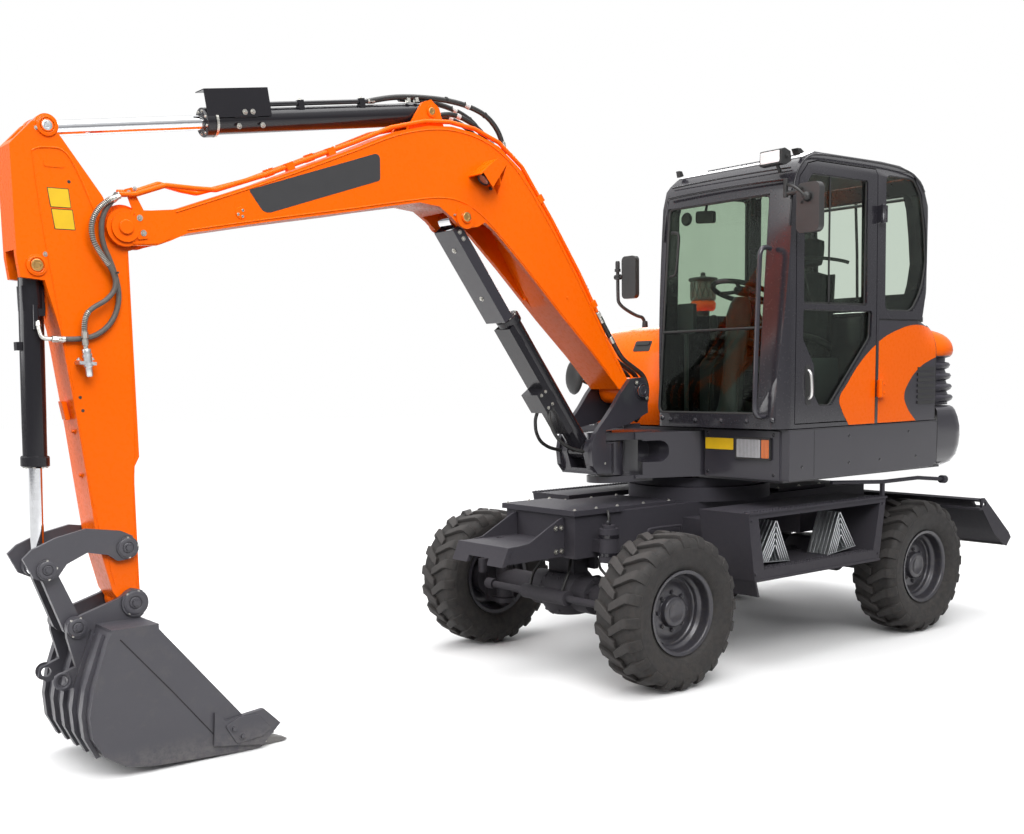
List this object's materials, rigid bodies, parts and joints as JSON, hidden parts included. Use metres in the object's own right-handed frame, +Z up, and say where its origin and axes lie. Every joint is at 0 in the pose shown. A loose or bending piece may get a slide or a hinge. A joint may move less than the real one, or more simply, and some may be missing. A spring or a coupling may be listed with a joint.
{
  "type": "wheeled excavator",
  "caption": "Compact wheeled excavator with a glazed cab, swing boom, arm and curled bucket at the front and a dozer blade at the rear.",
  "frame": {"origin": "on the ground under the slewing axis, midway between the axles", "axes": "+X forward along the boom at rest, +Y to the machine's left, +Z up"},
  "size_m": [6.23, 2.122, 3.0883],
  "materials": {
    "charcoal_paint": "satin",
    "orange_paint": "gloss",
    "bare_steel": "matt",
    "galvanised": "satin",
    "rim_paint": "satin",
    "tyre": "matt",
    "black_paint": "gloss",
    "black_rubber": "satin",
    "grey_rubber": "matt",
    "chrome_rod": "polished",
    "worn_steel": "satin",
    "glass": "clear",
    "seat_fabric": "matt",
    "black_plastic": "matt",
    "lamp": "clear"
  },
  "bodies": {
    "undercarriage": {"chassis_frame": "charcoal_paint", "front_bracket": "charcoal_paint", "front_axle": "charcoal_paint", "rear_axle": "charcoal_paint", "drive_shafts": "bare_steel", "slew_ring": "bare_steel", "side_steps": "charcoal_paint", "wheel_chocks": "galvanised"},
    "knuckle_left": {"knuckle_left": "charcoal_paint"},
    "knuckle_right": {"knuckle_right": "charcoal_paint"},
    "steering": {"steering_rod": "bare_steel"},
    "wheel_front_left": {"rim_front_left": "rim_paint", "tyre_front_left": "tyre"},
    "wheel_front_right": {"rim_front_right": "rim_paint", "tyre_front_right": "tyre"},
    "wheel_rear_left": {"rim_rear_left": "rim_paint", "tyre_rear_left": "tyre"},
    "wheel_rear_right": {"rim_rear_right": "rim_paint", "tyre_rear_right": "tyre"},
    "blade": {"blade": "charcoal_paint"},
    "blade_barrel": {"blade_cylinder": "black_paint"},
    "blade_ram": {"blade_rod": "chrome_rod"},
    "upperstructure": {"upper_frame": "charcoal_paint", "lower_skirts": "charcoal_paint", "counterweight": "charcoal_paint", "quarter_panel": "orange_paint", "right_rear_cover": "orange_paint", "louvre_panels": "black_plastic", "engine_block": "bare_steel", "cab_frame": "charcoal_paint", "cab_roof": "charcoal_paint", "cab_glass": "glass", "seat": "seat_fabric", "controls": "black_plastic", "mirror_left": "charcoal_paint", "lamps": "lamp", "precleaner": "black_plastic"},
    "hood": {"engine_hood": "orange_paint"},
    "front_cover": {"right_front_cover": "orange_paint", "mirror_right": "charcoal_paint"},
    "door": {"door_frame": "charcoal_paint", "door_glass": "glass"},
    "swing_post": {"swing_post": "charcoal_paint", "post_hoses": "black_rubber"},
    "boom": {"boom": "orange_paint", "boom_pipes": "orange_paint", "arm_cylinder_hoses": "black_rubber"},
    "boom_barrel": {"boom_cylinder": "black_paint"},
    "boom_ram": {"boom_rod": "chrome_rod", "boom_rod_guard": "charcoal_paint"},
    "arm": {"arm": "orange_paint", "arm_hoses": "grey_rubber"},
    "arm_barrel": {"arm_cylinder": "black_paint"},
    "arm_ram": {"arm_rod": "chrome_rod"},
    "bucket_barrel": {"bucket_cylinder": "black_paint"},
    "bucket_ram": {"bucket_rod": "chrome_rod"},
    "rockers": {"rockers": "charcoal_paint"},
    "link": {"bucket_link": "charcoal_paint"},
    "bucket": {"bucket": "charcoal_paint", "bucket_teeth": "worn_steel"}
  },
  "joints": [
    {"name": "slew", "type": "hinge", "parent": "undercarriage", "child": "upperstructure", "pos_m": [0, 0, 1.04], "axis": [0, 0, 1], "continuous": true},
    {"name": "steer_left", "type": "hinge", "parent": "undercarriage", "child": "knuckle_left", "pos_m": [1.1, 0.6, 0.42], "axis": [0, 0, 1], "range_deg": [-28, 28]},
    {"name": "steer_right", "type": "hinge", "parent": "undercarriage", "child": "knuckle_right", "pos_m": [1.1, -0.6, 0.42], "axis": [0, 0, 1], "range_deg": [-28, 28]},
    {"name": "steer_rod", "type": "slide", "parent": "undercarriage", "child": "steering", "axis": [0, 1, 0], "range_m": [-0.082, 0.082]},
    {"name": "roll_front_left", "type": "hinge", "parent": "knuckle_left", "child": "wheel_front_left", "pos_m": [1.1, 0.79, 0.42], "axis": [0, 1, 0], "continuous": true},
    {"name": "roll_front_right", "type": "hinge", "parent": "knuckle_right", "child": "wheel_front_right", "pos_m": [1.1, -0.79, 0.42], "axis": [0, 1, 0], "continuous": true},
    {"name": "roll_rear_left", "type": "hinge", "parent": "undercarriage", "child": "wheel_rear_left", "pos_m": [-1.1, 0.79, 0.42], "axis": [0, 1, 0], "continuous": true},
    {"name": "roll_rear_right", "type": "hinge", "parent": "undercarriage", "child": "wheel_rear_right", "pos_m": [-1.1, -0.79, 0.42], "axis": [0, 1, 0], "continuous": true},
    {"name": "blade_lower", "type": "hinge", "parent": "undercarriage", "child": "blade", "pos_m": [-1.25, 0, 0.56], "axis": [0, -1, 0], "range_deg": [0, 46]},
    {"name": "blade_cylinder_swing", "type": "hinge", "parent": "undercarriage", "child": "blade_barrel", "pos_m": [-1.358, 0, 0.84], "axis": [0, -1, 0], "range_deg": [0, 34.98]},
    {"name": "blade_cylinder_stroke", "type": "slide", "parent": "blade_barrel", "child": "blade_ram", "axis": [-0.8546, 0, -0.5193], "range_m": [0, 0.21357]},
    {"name": "door_open", "type": "hinge", "parent": "upperstructure", "child": "door", "pos_m": [-0.485, 0.985, 2], "axis": [0, 0, 1], "range_deg": [0, 160]},
    {"name": "hood_open", "type": "hinge", "parent": "upperstructure", "child": "hood", "pos_m": [-1.104, 0, 1.932], "axis": [0, 1, 0], "range_deg": [0, 55]},
    {"name": "front_cover_open", "type": "hinge", "parent": "upperstructure", "child": "front_cover", "pos_m": [-0.318, -0.5, 1.968], "axis": [0, -1, 0], "range_deg": [0, 50]},
    {"name": "boom_swing", "type": "hinge", "parent": "upperstructure", "child": "swing_post", "pos_m": [0.8, 0, 1.2], "axis": [0, 0, 1], "range_deg": [-50, 80]},
    {"name": "boom_lift", "type": "hinge", "parent": "swing_post", "child": "boom", "pos_m": [0.66, 0, 1.57], "axis": [0, -1, 0], "range_deg": [-60, 36], "deforming": ["post_hoses"]},
    {"name": "boom_cylinder_swing", "type": "hinge", "parent": "swing_post", "child": "boom_barrel", "pos_m": [0.985, 0, 1.235], "axis": [0, -1, 0], "range_deg": [-64.87, 38.92], "deforming": ["post_hoses"]},
    {"name": "boom_cylinder_stroke", "type": "slide", "parent": "boom_barrel", "child": "boom_ram", "axis": [0.5822, 0, 0.8131], "range_m": [-0.43772, 0.26263]},
    {"name": "arm_fold", "type": "hinge", "parent": "boom", "child": "arm", "pos_m": [3.68, 0, 2.33], "axis": [0, 1, 0], "range_deg": [-38, 54], "deforming": ["arm_hoses"]},
    {"name": "arm_cylinder_swing", "type": "hinge", "parent": "boom", "child": "arm_barrel", "pos_m": [2.05, 0, 3], "axis": [0, -1, 0], "range_deg": [-7.42, 5.22], "deforming": ["arm_cylinder_hoses"]},
    {"name": "arm_cylinder_stroke", "type": "slide", "parent": "arm_barrel", "child": "arm_ram", "axis": [0.9899, 0, -0.1414], "range_m": [-0.24272, 0.34492]},
    {"name": "bucket_curl", "type": "hinge", "parent": "arm", "child": "bucket", "pos_m": [3.73, 0, 0.715], "axis": [0, 1, 0], "range_deg": [-65, 90]},
    {"name": "rocker_swing", "type": "hinge", "parent": "arm", "child": "rockers", "pos_m": [3.745, 0, 0.96], "axis": [0, 1, 0], "range_deg": [-43.87, 60.74]},
    {"name": "link_swing", "type": "hinge", "parent": "bucket", "child": "link", "pos_m": [3.985, 0, 0.64], "axis": [0, 1, 0], "range_deg": [-73.92, 53.38]},
    {"name": "bucket_cylinder_swing", "type": "hinge", "parent": "arm", "child": "bucket_barrel", "pos_m": [4.05, 0, 2.16], "axis": [0, 1, 0], "range_deg": [-3.04, 4.21], "deforming": ["arm_hoses"]},
    {"name": "bucket_cylinder_stroke", "type": "slide", "parent": "bucket_barrel", "child": "bucket_ram", "axis": [0.0357, 0, -0.9994], "range_m": [-0.22738, 0.31483]}
  ],
  "couplings": [
    {"joint": "steer_right", "follows": "steer_left", "ratio": 1},
    {"joint": "steer_rod", "follows": "steer_left", "m_per_rad": -0.163},
    {"joint": "blade_cylinder_swing", "follows": "blade_lower", "ratio": 0.7456},
    {"joint": "blade_cylinder_stroke", "follows": "blade_lower", "m_per_rad": 0.2608},
    {"joint": "boom_cylinder_swing", "follows": "boom_lift", "ratio": 1.06},
    {"joint": "boom_cylinder_stroke", "follows": "boom_lift", "m_per_rad": 0.4098},
    {"joint": "arm_cylinder_swing", "follows": "arm_fold", "ratio": -0.1347},
    {"joint": "arm_cylinder_stroke", "follows": "arm_fold", "m_per_rad": 0.3588},
    {"joint": "rocker_swing", "follows": "bucket_curl", "ratio": 0.6617},
    {"joint": "link_swing", "follows": "bucket_curl", "ratio": -0.8052},
    {"joint": "bucket_cylinder_swing", "follows": "bucket_curl", "ratio": 0.0459},
    {"joint": "bucket_cylinder_stroke", "follows": "bucket_curl", "m_per_rad": 0.1965}
  ]
}
